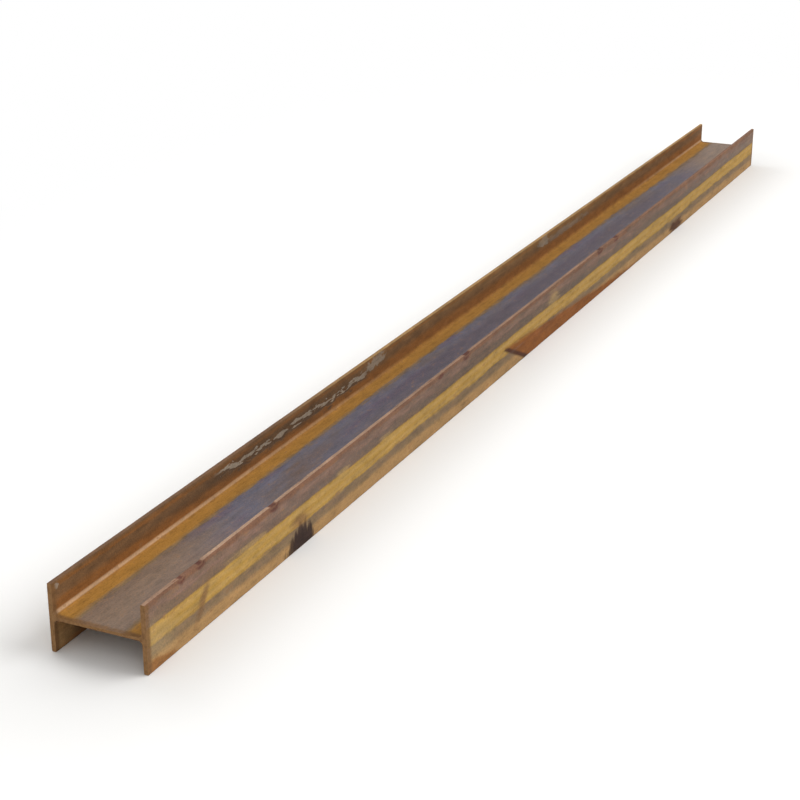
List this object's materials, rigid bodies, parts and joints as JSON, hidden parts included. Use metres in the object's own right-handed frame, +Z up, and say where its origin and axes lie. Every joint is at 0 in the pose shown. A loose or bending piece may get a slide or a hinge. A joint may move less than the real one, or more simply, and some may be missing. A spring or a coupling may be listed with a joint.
{
  "type": "steel h-beam",
  "caption": "Hot-rolled steel H-beam with parallel flanges, filleted web roots and square sawn ends, for frames and columns; it lies web level on its flange toes.",
  "frame": {"origin": "middle of the length and of the depth, on the plane of the lower flange toes that the bar lies on", "axes": "+X along the bar, +Y across the section's depth from one flange to the other, +Z up, square to the web"},
  "size_m": [6, 0.298, 0.201],
  "materials": {
    "rolled_steel": "hot-rolled mill scale with ochre and brown rust, unpainted"
  },
  "bodies": {
    "root": {"h_beam": "rolled_steel"}
  },
  "joints": []
}
